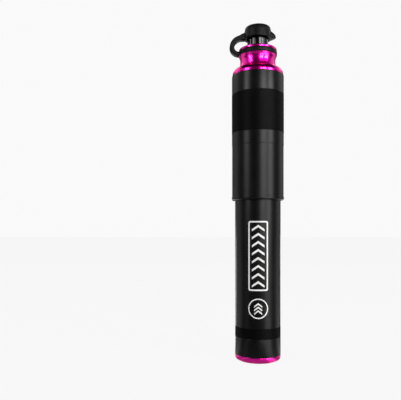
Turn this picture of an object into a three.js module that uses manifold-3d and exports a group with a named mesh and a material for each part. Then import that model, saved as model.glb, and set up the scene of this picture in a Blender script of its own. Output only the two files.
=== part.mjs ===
// Mini bicycle pump, standing upright on its end plug.
// Millimetres, +Z up. The origin is the centre of the end plug's flat underside,
// and every turned piece shares the Z axis. The pump is shown pushed shut.
import * as THREE from 'three';
import { mergeVertices } from 'three/addons/utils/BufferGeometryUtils.js';
import Module from 'manifold-3d';

const wasm = await Module();
wasm.setup();

// ---------------------------------------------------------------- driving dimensions
// Clearances
const CONTACT_GAP = 0.1;        // between faces that meet end to end
const FIT = 0.05;               // radial, a piece seated in its bore
const SLIDE = 0.1;              // radial, a piece that slides or turns in its bore
const RUBBER_GAP = 0.3;         // between the strap and what it is moulded to

// Barrel
const BORE_DIAMETER = 22.5;
const BARREL_WALL = 1.5;
const BARREL_LENGTH = 143;
const BAND_FROM_END = 10;       // knurled band near the lower end
const BAND_HEIGHT = 5.7;
const BAND_RELIEF = 0.08;

// End plug
const PLUG_FLANGE = 3.5;
const PLUG_FILLET = 2.2;
const PLUG_SPIGOT = 6;
const O_RING_SECTION = 1.2;

// Rod guide and bumper
const GUIDE_FLANGE = 2;
const GUIDE_SPIGOT = 11;
const BUMPER_HEIGHT = 2;
const BUMPER_WIDTH = 3.7;

// Grip sleeve
const SLEEVE_WALL = 1.4;
const SLEEVE_LENGTH = 69.8;
const SLEEVE_CLEARANCE = 0.35;  // radial, round the barrel
const GRIP_FROM_TOP = 10.5;     // smooth collar above the knurled band
const GRIP_BAND = 21.8;
const GRIP_PROUD = 0.08;
const GRIP_RUN_OUT = 7.2;       // plain length below the band, down to the long relief
const RELIEF_DEPTH = 0.1;
const SLEEVE_LIP = 2.1;
const GUIDE_RING_HEIGHT = 4.5;
const GUIDE_RING_WALL = 0.8;

// Piston
const PISTON_GAP = 0.5;         // from the plug's spigot when the pump is shut
const PISTON_DISC = 8;
const PISTON_BOSS = 6;
const PISTON_CLEARANCE = 0.35;
const BOSS_WALL = 1.95;
const RING_SECTION = 2.2;
const RING_FLOAT = 1.2;         // how far the ring shifts in its groove
const RING_SEAT = 2.5;          // groove's lower wall above the piston's underside
const INLET_DIAMETER = 2.4;
const INLET_DEPTH = 2;
const CHAMBER_DIAMETER = 4.6;
const BALL_DIAMETER = 3.8;
const SPRING_WIRE = 0.45;
const SPRING_TURNS = 3;
const RETAINER_THICKNESS = 1;
const RETAINER_HOLES = 4;
const RETAINER_HOLE = 1;
const RETAINER_PITCH = 2.2;

// Hose and rod
const HOSE_DIAMETER = 6;
const HOSE_BORE = 3.4;
const FERRULE_WALL = 0.7;
const FERRULE_LENGTH = 5;
const FERRULE_LIP = 0.4;
const HOSE_TRAVEL = 40;         // how far the chuck and hose pull out
const ROD_WALL = 1;

// Chuck
const VALVE_BORE = 7.8;         // takes a tyre valve's stem
const INSERT_WALL = 0.9;
const MOUTH_RECESS = 0.3;       // insert's end below the nut's mouth
const NUT_WALL = 1;
const NUT_WEB = 2.5;
const NUT_CHAMFER = 0.8;
const FLUTES = 20;
const FLUTE_DEPTH = 0.3;
const SEAL_HEIGHT = 3.5;
const FITTING_FLANGE = 2;
const FITTING_BARB = 7;
const FITTING_BORE = 2;
const SEAL_BORE = 4.4;
const CHUCK_PROUD = 8.1;        // how far the chuck stands above the head

// Head
const SPIGOT_LENGTH = 8.5;
const HEAD_HEIGHT = 15.2;       // above the grip sleeve
const FLANGE_SETBACK = 0.3;     // from the sleeve's outside
const FLANGE_EDGE = 0.8;
const ROD_SOCKET = 6.3;
const CHUCK_FLOOR = 3;          // chuck's seat above the sleeve's end
const CHUCK_CLEARANCE = 0.4;
const NECK_WALL = 3.52;
const SHOULDER_FULLNESS = 0.41; // shares of the neck's height that bend the shoulder
const NECK_HOLLOW = 0.385;
const FLARE_RADIUS = 8;
const FLARE_HEIGHT = 3.4;
const HEAD_LIP = 1.3;
const LIP_FILLET = 0.5;
const SEAL_GROOVE = 2;

// Rubber cap, its ring and the strap between them
const TETHER_HEIGHT = 2.6;
const TETHER_WALL = 1.15;
const TETHER_SEAT_DEPTH = 0.3;  // groove in from the neck
const CAP_HEIGHT = 6.8;
const CAP_ROOF = 1.5;
const CAP_OVER_CHUCK = 3;       // from the chuck's mouth up to the cap's ceiling
const CAP_RIM_WALL = 1.35;
const CAP_TOP_WALL = 0.75;
const CAP_RIM_HEIGHT = 0.7;
const CAP_EDGE_RADIUS = 1.1;
const TAB_WIDTH = 5.2;
const TAB_REACH = 2.65;
const TAB_HEIGHT = 5.1;
const TAB_RISE = 0.9;           // height of the tab's tip above the rim
const STRAP_WIDTH = 4;
const STRAP_RISE = 0.8;         // strap's centreline above the cap's rim
const STRAP_THICKNESS = 2.4;
const STRAP_ROOT_THICKNESS = 2.9;   // where it meets the cap
const STRAP_BULGE_LOW = [5.6, 0.8];
const STRAP_BULGE_HIGH = [7.6, 0];

// How finely round surfaces are faceted
const OUTER_FACETS = 36;
const INNER_FACETS = 20;
const SECTION_FACETS = 8;
const ARC_STEPS = 4;
const SPRING_STEPS = 14;        // per turn

// ---------------------------------------------------------------- sizes that follow
const boreRadius = BORE_DIAMETER / 2;
const barrelRadius = boreRadius + BARREL_WALL;
const sleeveBoreRadius = barrelRadius + SLEEVE_CLEARANCE;
const sleeveRadius = sleeveBoreRadius + SLEEVE_WALL;

const hoseRadius = HOSE_DIAMETER / 2;
const hosePassageRadius = hoseRadius + 3 * SLIDE;
const ferruleRadius = hoseRadius + FIT + FERRULE_WALL;
const rodBoreRadius = ferruleRadius + 2.5 * SLIDE;
const rodRadius = rodBoreRadius + ROD_WALL;
const rodSocketRadius = rodRadius + FIT;
const rodGuideRadius = rodRadius + SLIDE;

const insertRadius = VALVE_BORE / 2 + INSERT_WALL;
const nutBoreRadius = insertRadius + SLIDE;
const nutRadius = nutBoreRadius + NUT_WALL;
const chuckBoreRadius = nutRadius + CHUCK_CLEARANCE;
const neckRadius = Math.max(chuckBoreRadius, rodSocketRadius + O_RING_SECTION) + NECK_WALL;
const flareTopRadius = neckRadius + FLARE_RADIUS - Math.sqrt(FLARE_RADIUS ** 2 - FLARE_HEIGHT ** 2);
const grooveRadius = neckRadius - TETHER_SEAT_DEPTH;
const tetherBoreRadius = grooveRadius + SLIDE;
const tetherRadius = tetherBoreRadius + TETHER_WALL;
const capRimRadius = chuckBoreRadius + CAP_RIM_WALL;
const capTopRadius = chuckBoreRadius + CAP_TOP_WALL;

const pistonRadius = boreRadius - PISTON_CLEARANCE;
const ringRadius = boreRadius - FIT;
const ringGrooveRadius = ringRadius - RING_SECTION - SLIDE;
const bossRadius = rodSocketRadius + BOSS_WALL;

// Stations along the axis
const barrelZ = PLUG_FLANGE;
const guideZ = barrelZ + BARREL_LENGTH;
const bumperZ = guideZ + GUIDE_FLANGE + CONTACT_GAP;
const spigotZ = bumperZ + BUMPER_HEIGHT + CONTACT_GAP;
const sleeveTopZ = spigotZ + SPIGOT_LENGTH;
const rodTopZ = spigotZ + ROD_SOCKET - CONTACT_GAP;
const headTopZ = sleeveTopZ + HEAD_HEIGHT;
const chuckFloorZ = sleeveTopZ + CHUCK_FLOOR;
const chuckZ = chuckFloorZ + RUBBER_GAP;
const chuckTopZ = headTopZ + CHUCK_PROUD;
const tetherZ = headTopZ - HEAD_LIP - FIT - TETHER_HEIGHT;
const capTopZ = chuckTopZ + CAP_OVER_CHUCK + CAP_ROOF;
const capRimZ = capTopZ - CAP_HEIGHT;
const pistonZ = barrelZ + PLUG_SPIGOT + PISTON_GAP;
const rodBottomZ = pistonZ + PISTON_DISC + RUBBER_GAP + RETAINER_THICKNESS + 2 * CONTACT_GAP;
const ferruleTopZ = spigotZ + ROD_SOCKET - HOSE_TRAVEL - RUBBER_GAP;

// Heights inside the chuck, from the nut's underside
const nutLength = chuckTopZ - chuckZ;
const fittingSeat = NUT_WEB + 2 * CONTACT_GAP;
const sealSeat = fittingSeat + FITTING_FLANGE + 2 * CONTACT_GAP;
const insertSeat = sealSeat + SEAL_HEIGHT + RUBBER_GAP;

// ---------------------------------------------------------------- shape helpers
// Points of an arc in the (radius, height) plane, angles in degrees.
function arc(radius, height, size, from, to, steps = ARC_STEPS) {
  return Array.from({ length: steps + 1 }, (_, i) => {
    const angle = THREE.MathUtils.degToRad(from + ((to - from) * i) / steps);
    return [radius + size * Math.cos(angle), height + size * Math.sin(angle)];
  });
}

// A piece turned on the Z axis from a [radius, height] outline. An outline that
// doesn't start on the axis is closed on itself.
function turned(outline, facets) {
  const area = outline.reduce((sum, [r, z], i) => {
    const [nextR, nextZ] = outline[(i + 1) % outline.length];
    return sum + r * nextZ - nextR * z;
  }, 0);
  const points = area < 0 ? [...outline].reverse() : [...outline];
  if (points[0][0] > 0) points.push(points[0]);
  const profile = points.map(([r, z]) => new THREE.Vector2(r, z));
  return new THREE.LatheGeometry(profile, facets).rotateX(Math.PI / 2);
}

// A tube with square ends.
function tube(bore, radius, bottom, top, facets) {
  return turned([[bore, bottom], [radius, bottom], [radius, top], [bore, top]], facets);
}

// A ring of round section.
function oRing(bore, section, height, facets) {
  const size = section / 2;
  const circle = arc(bore + size, height, size, 0, 360, SECTION_FACETS).slice(0, -1);
  return turned(circle, facets);
}

// An outline in the XZ plane given a width along Y, centred on the axis.
function slab(outline, width) {
  const shape = new THREE.Shape(outline.map(([x, z]) => new THREE.Vector2(x, z)));
  const geometry = new THREE.ExtrudeGeometry(shape, { depth: width, bevelEnabled: false });
  return geometry.rotateX(Math.PI / 2).translate(0, width / 2, 0);
}

// Geometry to and from a manifold solid, for joining and cutting.
function solid(geometry) {
  const bare = geometry.clone();
  bare.deleteAttribute('normal');
  bare.deleteAttribute('uv');
  const merged = mergeVertices(bare, 1e-4);
  const corners = [];
  for (let i = 0; i < merged.index.count; i += 3) {
    const [a, b, c] = [0, 1, 2].map((k) => merged.index.getX(i + k));
    if (a !== b && b !== c && c !== a) corners.push(a, b, c);
  }
  return new wasm.Manifold(new wasm.Mesh({
    numProp: 3,
    vertProperties: merged.attributes.position.array,
    triVerts: new Uint32Array(corners),
  }));
}

function geometryOf(body) {
  const mesh = body.getMesh();
  const geometry = new THREE.BufferGeometry();
  geometry.setAttribute('position', new THREE.BufferAttribute(mesh.vertProperties, 3));
  geometry.setIndex(new THREE.BufferAttribute(mesh.triVerts, 1));
  geometry.computeVertexNormals();
  return geometry;
}

// ---------------------------------------------------------------- finishes
const finish = (color, roughness, metalness) =>
  new THREE.MeshStandardMaterial({ color, roughness, metalness });

const blackAnodised = finish(0x17181a, 0.38, 0.8);
const magentaAnodised = finish(0xd8006e, 0.25, 0.9);
const rubber = finish(0x1a1a1c, 0.75, 0);
const blackPlastic = finish(0x202022, 0.5, 0);
const steel = finish(0xb9bcc0, 0.25, 1);
const brass = finish(0xc09a4a, 0.3, 1);
const sealRubber = finish(0x2a2a2c, 0.6, 0);

// ---------------------------------------------------------------- barrel
function endPlug() {
  const spigotRadius = boreRadius - SLIDE;
  const grooveFloor = spigotRadius - O_RING_SECTION - FIT;
  const grooveZ = PLUG_FLANGE + (PLUG_SPIGOT - SEAL_GROOVE) / 2;
  return turned([
    [0, 0],
    ...arc(barrelRadius - PLUG_FILLET, PLUG_FILLET, PLUG_FILLET, -90, 0),
    [barrelRadius, PLUG_FLANGE],
    [spigotRadius, PLUG_FLANGE],
    [spigotRadius, grooveZ],
    [grooveFloor, grooveZ],
    [grooveFloor, grooveZ + SEAL_GROOVE],
    [spigotRadius, grooveZ + SEAL_GROOVE],
    [spigotRadius, PLUG_FLANGE + PLUG_SPIGOT],
    [0, PLUG_FLANGE + PLUG_SPIGOT],
  ], OUTER_FACETS);
}

function plugORing() {
  const bore = boreRadius - SLIDE - O_RING_SECTION;
  return oRing(bore, O_RING_SECTION, PLUG_FLANGE + PLUG_SPIGOT / 2, OUTER_FACETS);
}

function barrelTube() {
  const bandRadius = barrelRadius - BAND_RELIEF;
  return turned([
    [boreRadius, 0],
    [barrelRadius, 0],
    [barrelRadius, BAND_FROM_END],
    [bandRadius, BAND_FROM_END],
    [bandRadius, BAND_FROM_END + BAND_HEIGHT],
    [barrelRadius, BAND_FROM_END + BAND_HEIGHT],
    [barrelRadius, BARREL_LENGTH],
    [boreRadius, BARREL_LENGTH],
  ], OUTER_FACETS);
}

// Closes the barrel's open end and carries the rod.
function rodGuide() {
  return turned([
    [rodGuideRadius, -GUIDE_SPIGOT],
    [boreRadius - FIT, -GUIDE_SPIGOT],
    [boreRadius - FIT, 0],
    [barrelRadius - SLIDE, 0],
    [barrelRadius - SLIDE, GUIDE_FLANGE],
    [rodGuideRadius, GUIDE_FLANGE],
  ], OUTER_FACETS);
}

// ---------------------------------------------------------------- handle
function gripSleeve() {
  const gripRadius = sleeveRadius + GRIP_PROUD;
  const reliefRadius = sleeveRadius - RELIEF_DEPTH;
  const gripTop = -GRIP_FROM_TOP;
  const gripBottom = gripTop - GRIP_BAND;
  const reliefTop = gripBottom - GRIP_RUN_OUT;
  const bottom = -SLEEVE_LENGTH;
  const pocketRadius = sleeveBoreRadius + GUIDE_RING_WALL - 4 * FIT;
  const pocketTop = bottom + SLEEVE_LIP + GUIDE_RING_HEIGHT + 2 * CONTACT_GAP;
  return turned([
    [sleeveBoreRadius, 0],
    [sleeveBoreRadius, pocketTop],
    [pocketRadius, pocketTop],
    [pocketRadius, bottom + SLEEVE_LIP],
    [sleeveBoreRadius, bottom + SLEEVE_LIP],
    [sleeveBoreRadius, bottom],
    ...arc(gripRadius - LIP_FILLET, bottom + LIP_FILLET, LIP_FILLET, -90, 0, 2),
    [gripRadius, bottom + SLEEVE_LIP],
    [reliefRadius, bottom + SLEEVE_LIP],
    [reliefRadius, reliefTop],
    [sleeveRadius, reliefTop],
    [sleeveRadius, gripBottom],
    [gripRadius, gripBottom],
    [gripRadius, gripTop],
    [sleeveRadius, gripTop],
    [sleeveRadius, 0],
  ], OUTER_FACETS);
}

// Plastic ring in the sleeve's lower end that runs on the barrel.
function sleeveGuideRing() {
  const outer = sleeveBoreRadius + GUIDE_RING_WALL - 5 * FIT;
  const bottom = -SLEEVE_LENGTH + SLEEVE_LIP + CONTACT_GAP;
  return tube(barrelRadius + SLIDE, outer, bottom, bottom + GUIDE_RING_HEIGHT, OUTER_FACETS);
}

// Flange, waisted neck and tether lip outside; rod socket, hose passage and
// chuck bore inside. Height zero is the end of the grip sleeve.
function headCollar() {
  const spigotRadius = sleeveBoreRadius - FIT;
  const flangeRadius = sleeveRadius - FLANGE_SETBACK;
  const lipBottom = HEAD_HEIGHT - HEAD_LIP;
  const grooveBottom = lipBottom - TETHER_HEIGHT - 2 * FIT;
  const neckTop = grooveBottom - FLARE_HEIGHT;
  const shoulder = new THREE.CubicBezierCurve(
    new THREE.Vector2(flangeRadius, FLANGE_EDGE),
    new THREE.Vector2(flangeRadius, FLANGE_EDGE + SHOULDER_FULLNESS * neckTop),
    new THREE.Vector2(neckRadius, NECK_HOLLOW * neckTop),
    new THREE.Vector2(neckRadius, neckTop),
  ).getPoints(3 * ARC_STEPS);
  const flareEnd = 180 - THREE.MathUtils.radToDeg(Math.asin(FLARE_HEIGHT / FLARE_RADIUS));
  const flare = arc(neckRadius + FLARE_RADIUS, neckTop, FLARE_RADIUS, 180, flareEnd);
  const socketTop = ROD_SOCKET - SPIGOT_LENGTH;
  const rodGroove = (socketTop - SPIGOT_LENGTH - SEAL_GROOVE) / 2;
  const rodGrooveRadius = rodSocketRadius + O_RING_SECTION + FIT;
  const hoseGroove = (socketTop + CHUCK_FLOOR - SEAL_GROOVE) / 2;
  const hoseGrooveRadius = hoseRadius + SLIDE + O_RING_SECTION + FIT;
  return turned([
    [spigotRadius, -SPIGOT_LENGTH],
    [spigotRadius, 0],
    [flangeRadius, 0],
    ...shoulder.map((point) => [point.x, point.y]),
    ...flare.slice(1),
    [grooveRadius, grooveBottom],
    [grooveRadius, lipBottom],
    [flareTopRadius, lipBottom],
    ...arc(flareTopRadius - LIP_FILLET, HEAD_HEIGHT - LIP_FILLET, LIP_FILLET, 0, 90, 3),
    [chuckBoreRadius, HEAD_HEIGHT],
    [chuckBoreRadius, CHUCK_FLOOR],
    [hosePassageRadius, CHUCK_FLOOR],
    [hosePassageRadius, hoseGroove + SEAL_GROOVE],
    [hoseGrooveRadius, hoseGroove + SEAL_GROOVE],
    [hoseGrooveRadius, hoseGroove],
    [hosePassageRadius, hoseGroove],
    [hosePassageRadius, socketTop],
    [rodSocketRadius, socketTop],
    [rodSocketRadius, rodGroove + SEAL_GROOVE],
    [rodGrooveRadius, rodGroove + SEAL_GROOVE],
    [rodGrooveRadius, rodGroove],
    [rodSocketRadius, rodGroove],
    [rodSocketRadius, -SPIGOT_LENGTH],
  ], OUTER_FACETS);
}

function rodSeal() {
  const height = ROD_SOCKET / 2 - SPIGOT_LENGTH;
  return oRing(rodSocketRadius, O_RING_SECTION, height, OUTER_FACETS);
}

function hoseSeal() {
  const height = (ROD_SOCKET - SPIGOT_LENGTH + CHUCK_FLOOR) / 2;
  return oRing(hoseRadius + SLIDE, O_RING_SECTION, height, INNER_FACETS);
}

// ---------------------------------------------------------------- piston
// Disc with the floating ring's groove, a valve chamber, and a boss that takes the rod.
function pistonBody() {
  const grooveTop = RING_SEAT + RING_SECTION + RING_FLOAT;
  const socketFloor = PISTON_DISC + RUBBER_GAP;
  const bossTop = PISTON_DISC + PISTON_BOSS;
  return turned([
    [INLET_DIAMETER / 2, 0],
    [pistonRadius, 0],
    [pistonRadius, RING_SEAT],
    [ringGrooveRadius, RING_SEAT],
    [ringGrooveRadius, grooveTop],
    [pistonRadius, grooveTop],
    [pistonRadius, PISTON_DISC],
    [bossRadius, PISTON_DISC],
    [bossRadius, bossTop],
    [rodSocketRadius, bossTop],
    [rodSocketRadius, socketFloor],
    [CHAMBER_DIAMETER / 2, socketFloor],
    [CHAMBER_DIAMETER / 2, INLET_DEPTH],
    [INLET_DIAMETER / 2, INLET_DEPTH],
  ], OUTER_FACETS);
}

function pistonRing() {
  const height = RING_SEAT + FIT + RING_SECTION / 2;
  return oRing(ringRadius - RING_SECTION, RING_SECTION, height, OUTER_FACETS);
}

// Height of the check ball's centre where it rests on the inlet's edge.
const ballRest = INLET_DEPTH + CONTACT_GAP
  + Math.sqrt((BALL_DIAMETER / 2) ** 2 - (INLET_DIAMETER / 2) ** 2);

function checkBall() {
  return new THREE.SphereGeometry(BALL_DIAMETER / 2, 16, 12).translate(0, 0, ballRest);
}

class Helix extends THREE.Curve {
  constructor(radius, bottom, top, turns) {
    super();
    Object.assign(this, { radius, bottom, top, turns });
  }

  getPoint(t, target = new THREE.Vector3()) {
    const angle = 2 * Math.PI * this.turns * t;
    const height = this.bottom + (this.top - this.bottom) * t;
    return target.set(this.radius * Math.cos(angle), this.radius * Math.sin(angle), height);
  }
}

function checkSpring() {
  const bottom = ballRest + BALL_DIAMETER / 2 + CONTACT_GAP + SPRING_WIRE / 2;
  const top = PISTON_DISC + RUBBER_GAP - SPRING_WIRE;
  const radius = CHAMBER_DIAMETER / 2 - SPRING_WIRE;
  const section = new THREE.Shape().absarc(0, 0, SPRING_WIRE / 2, 0, 2 * Math.PI);
  return new THREE.ExtrudeGeometry(section, {
    extrudePath: new Helix(radius, bottom, top, SPRING_TURNS),
    steps: SPRING_STEPS * SPRING_TURNS,
    curveSegments: SECTION_FACETS - 2,
    bevelEnabled: false,
  });
}

// Perforated disc that holds the spring, clamped under the rod.
function valveRetainer() {
  const disc = new THREE.Shape().absarc(0, 0, rodRadius - SLIDE, 0, 2 * Math.PI);
  for (let i = 0; i < RETAINER_HOLES; i += 1) {
    const angle = (2 * Math.PI * i) / RETAINER_HOLES;
    const x = (RETAINER_PITCH / 2) * Math.cos(angle);
    const y = (RETAINER_PITCH / 2) * Math.sin(angle);
    disc.holes.push(new THREE.Path().absarc(x, y, RETAINER_HOLE / 2, 0, 2 * Math.PI, true));
  }
  const geometry = new THREE.ExtrudeGeometry(disc, {
    depth: RETAINER_THICKNESS,
    curveSegments: INNER_FACETS / 2,
    bevelEnabled: false,
  });
  return geometry.translate(0, 0, PISTON_DISC + RUBBER_GAP + CONTACT_GAP);
}

// ---------------------------------------------------------------- hose and chuck
function pistonRod() {
  return tube(rodBoreRadius, rodRadius, rodBottomZ, rodTopZ, INNER_FACETS);
}

function airHose() {
  const bottom = ferruleTopZ - FERRULE_LENGTH + FERRULE_LIP + CONTACT_GAP;
  return tube(HOSE_BORE / 2, hoseRadius, bottom, chuckZ + NUT_WEB + CONTACT_GAP, INNER_FACETS);
}

// Crimped cup on the hose's lower end, which stops the hose at the rod socket.
function hoseFerrule() {
  const lipTop = FERRULE_LIP - FERRULE_LENGTH;
  return turned([
    [HOSE_BORE / 2, -FERRULE_LENGTH],
    [ferruleRadius, -FERRULE_LENGTH],
    [ferruleRadius, 0],
    [hoseRadius + FIT, 0],
    [hoseRadius + FIT, lipTop],
    [HOSE_BORE / 2, lipTop],
  ], INNER_FACETS);
}

// Barbed end of the hose, whose flange the chuck's nut turns on.
function hoseFitting() {
  const barbRadius = HOSE_BORE / 2 - SLIDE;
  return turned([
    [FITTING_BORE / 2, -FITTING_BARB],
    [barbRadius, -FITTING_BARB],
    [barbRadius, 0],
    [insertRadius - SLIDE, 0],
    [insertRadius - SLIDE, FITTING_FLANGE],
    [FITTING_BORE / 2, FITTING_FLANGE],
  ], INNER_FACETS);
}

// The fluted nut is turned with two facets to a flute, and every second line of
// its outside is drawn in by the flute's depth.
function chuckNut() {
  const geometry = turned([
    [hosePassageRadius, 0],
    [nutRadius - NUT_CHAMFER, 0],
    [nutRadius, NUT_CHAMFER],
    [nutRadius, nutLength - NUT_CHAMFER],
    [nutRadius - NUT_CHAMFER, nutLength],
    [nutBoreRadius, nutLength],
    [nutBoreRadius, NUT_WEB],
    [hosePassageRadius, NUT_WEB],
  ], 2 * FLUTES);
  const position = geometry.getAttribute('position');
  for (let i = 0; i < position.count; i += 1) {
    const [x, y] = [position.getX(i), position.getY(i)];
    const line = Math.round((Math.atan2(x, -y) * FLUTES) / Math.PI);
    if (Math.hypot(x, y) > nutRadius - FIT && line % 2 !== 0) {
      const share = 1 - FLUTE_DEPTH / nutRadius;
      position.setXY(i, x * share, y * share);
    }
  }
  return geometry;
}

function valveSeal() {
  return tube(SEAL_BORE / 2, insertRadius, sealSeat, sealSeat + SEAL_HEIGHT, INNER_FACETS);
}

function threadInsert() {
  return tube(VALVE_BORE / 2, insertRadius, insertSeat, nutLength - MOUTH_RECESS, INNER_FACETS);
}

// ---------------------------------------------------------------- cap, ring and strap
const bend = (from, control, to, steps = ARC_STEPS) => new THREE.QuadraticBezierCurve(
  new THREE.Vector2(...from),
  new THREE.Vector2(...control),
  new THREE.Vector2(...to),
).getPoints(steps).map((point) => [point.x, point.y]);

// Pull tab: a pointed side outline with a round end in plan.
function capTab() {
  const root = chuckBoreRadius;
  const tip = [capRimRadius + TAB_REACH, TAB_RISE];
  const side = slab([
    [root, 0],
    ...bend([capRimRadius, 0], [capRimRadius + TAB_REACH / 2, 0], tip),
    ...bend(tip, [capRimRadius + TAB_REACH, 2.4 * TAB_RISE], [capTopRadius, TAB_HEIGHT]).slice(1),
    [root, TAB_HEIGHT],
  ], TAB_WIDTH);
  const endRadius = TAB_WIDTH / 2;
  const plan = new THREE.Shape();
  plan.moveTo(0, -endRadius);
  plan.absarc(tip[0] - endRadius, 0, endRadius, -Math.PI / 2, Math.PI / 2);
  plan.lineTo(0, endRadius);
  const post = new THREE.ExtrudeGeometry(plan, {
    depth: CAP_HEIGHT,
    curveSegments: 2 * ARC_STEPS,
    bevelEnabled: false,
  }).translate(0, 0, -CONTACT_GAP);
  return solid(side).intersect(solid(post));
}

// Height zero is the cap's rim.
function dustCap() {
  const ceiling = CAP_HEIGHT - CAP_ROOF;
  const shell = turned([
    [0, 0],
    [capRimRadius, 0],
    [capRimRadius, CAP_RIM_HEIGHT],
    ...arc(capTopRadius - CAP_EDGE_RADIUS, CAP_HEIGHT - CAP_EDGE_RADIUS, CAP_EDGE_RADIUS, 0, 90),
    [0, CAP_HEIGHT],
  ], OUTER_FACETS);
  const cavity = turned([
    [0, -CAP_HEIGHT],
    [chuckBoreRadius, -CAP_HEIGHT],
    [chuckBoreRadius, ceiling],
    [0, ceiling],
  ], OUTER_FACETS);
  return geometryOf(solid(shell).add(capTab()).subtract(solid(cavity)));
}

function tetherRing() {
  const edge = TETHER_WALL / 3;
  return turned([
    [tetherBoreRadius, 0],
    ...arc(tetherRadius - edge, edge, edge, -90, 0, 2),
    ...arc(tetherRadius - edge, TETHER_HEIGHT - edge, edge, 0, 90, 2),
    [tetherBoreRadius, TETHER_HEIGHT],
  ], OUTER_FACETS);
}

// Strap bowed out from the tether ring up to the cap's rim, on the -X side.
function capStrap() {
  const low = new THREE.Vector2(-tetherRadius - RUBBER_GAP, tetherZ + TETHER_HEIGHT / 2);
  const high = new THREE.Vector2(-capRimRadius - RUBBER_GAP, capRimZ + STRAP_RISE);
  const line = new THREE.CubicBezierCurve(
    low,
    new THREE.Vector2(low.x - STRAP_BULGE_LOW[0], low.y + STRAP_BULGE_LOW[1]),
    new THREE.Vector2(high.x - STRAP_BULGE_HIGH[0], high.y + STRAP_BULGE_HIGH[1]),
    high,
  );
  const steps = 4 * ARC_STEPS;
  const edge = (side) => Array.from({ length: steps + 1 }, (_, i) => {
    const t = i / steps;
    const point = line.getPoint(t);
    const along = line.getTangent(t);
    const half = THREE.MathUtils.lerp(STRAP_THICKNESS, STRAP_ROOT_THICKNESS, t) / 2;
    return [point.x - side * along.y * half, point.y + side * along.x * half];
  });
  return slab([...edge(1), ...edge(-1).reverse()], STRAP_WIDTH);
}

// ---------------------------------------------------------------- assembly
function piece(name, geometry, material, height = 0) {
  const mesh = new THREE.Mesh(geometry, material);
  mesh.name = name;
  mesh.position.z = height;
  return mesh;
}

const barrel = new THREE.Group();
barrel.add(
  piece('end_plug', endPlug(), magentaAnodised),
  piece('plug_o_ring', plugORing(), sealRubber),
  piece('barrel_tube', barrelTube(), blackAnodised, barrelZ),
  piece('rod_guide', rodGuide(), blackPlastic, guideZ),
);

const bumperRadius = rodGuideRadius + 2 * SLIDE;
const handle = new THREE.Group();
handle.add(
  piece('head_collar', headCollar(), magentaAnodised, sleeveTopZ),
  piece('rod_seal', rodSeal(), sealRubber, sleeveTopZ),
  piece('hose_seal', hoseSeal(), sealRubber, sleeveTopZ),
  piece('grip_sleeve', gripSleeve(), blackAnodised, sleeveTopZ),
  piece('sleeve_guide_ring', sleeveGuideRing(), blackPlastic, sleeveTopZ),
  piece('bumper_ring', tube(bumperRadius, bumperRadius + BUMPER_WIDTH, 0, BUMPER_HEIGHT, OUTER_FACETS),
    rubber, bumperZ),
  piece('piston_rod', pistonRod(), steel),
);

const piston = new THREE.Group();
piston.position.z = pistonZ;
piston.add(
  piece('piston_body', pistonBody(), blackPlastic),
  piece('piston_ring', pistonRing(), sealRubber),
  piece('check_ball', checkBall(), steel),
  piece('check_spring', checkSpring(), steel),
  piece('valve_retainer', valveRetainer(), brass),
);
handle.add(piston);

const hose = new THREE.Group();
hose.add(
  piece('air_hose', airHose(), rubber),
  piece('hose_ferrule', hoseFerrule(), brass, ferruleTopZ),
  piece('hose_fitting', hoseFitting(), brass, chuckZ + fittingSeat),
);

const chuck = new THREE.Group();
chuck.position.z = chuckZ;
chuck.add(
  piece('chuck_nut', chuckNut(), blackAnodised),
  piece('valve_seal', valveSeal(), sealRubber),
  piece('thread_insert', threadInsert(), brass),
);

const tether = new THREE.Group();
tether.add(
  piece('tether_ring', tetherRing(), rubber, tetherZ),
  piece('cap_strap', capStrap(), rubber),
  piece('dust_cap', dustCap(), rubber, capRimZ),
);

const pump = new THREE.Group();
pump.add(barrel, handle, hose, chuck, tether);

export default pump;
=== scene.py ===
"""Looks of a mini bicycle pump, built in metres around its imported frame.

The pump stands on its end plug with its axis on Z. Every fine piece is made in place, so that
its object stays at the origin, and takes its sizes from the box of the frame's node.
"""
import math

import bmesh
import bpy
import numpy as np
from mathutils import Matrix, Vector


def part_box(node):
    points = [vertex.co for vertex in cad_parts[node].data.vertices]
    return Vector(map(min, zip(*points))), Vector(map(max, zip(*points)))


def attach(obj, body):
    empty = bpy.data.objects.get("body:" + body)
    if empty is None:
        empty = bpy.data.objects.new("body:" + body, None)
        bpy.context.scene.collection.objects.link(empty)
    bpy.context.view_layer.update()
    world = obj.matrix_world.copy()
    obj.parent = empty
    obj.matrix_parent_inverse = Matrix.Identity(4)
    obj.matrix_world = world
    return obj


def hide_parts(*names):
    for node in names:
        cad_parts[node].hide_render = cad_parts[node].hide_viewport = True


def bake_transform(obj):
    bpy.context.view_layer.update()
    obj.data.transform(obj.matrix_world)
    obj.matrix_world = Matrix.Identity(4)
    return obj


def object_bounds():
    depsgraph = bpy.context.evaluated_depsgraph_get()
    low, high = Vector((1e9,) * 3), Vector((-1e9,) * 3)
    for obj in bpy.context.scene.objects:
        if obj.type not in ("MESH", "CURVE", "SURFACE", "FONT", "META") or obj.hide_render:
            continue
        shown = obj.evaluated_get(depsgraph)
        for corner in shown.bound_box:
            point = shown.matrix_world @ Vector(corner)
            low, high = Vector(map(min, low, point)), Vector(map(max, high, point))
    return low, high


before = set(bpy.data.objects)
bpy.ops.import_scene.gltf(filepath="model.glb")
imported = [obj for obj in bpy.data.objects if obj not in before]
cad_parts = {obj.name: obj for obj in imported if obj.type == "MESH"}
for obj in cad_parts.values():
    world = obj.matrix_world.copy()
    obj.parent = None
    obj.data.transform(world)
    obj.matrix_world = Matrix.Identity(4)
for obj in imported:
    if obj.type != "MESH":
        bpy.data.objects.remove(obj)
CAD_BOX = [list(corner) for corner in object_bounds()]

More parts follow.
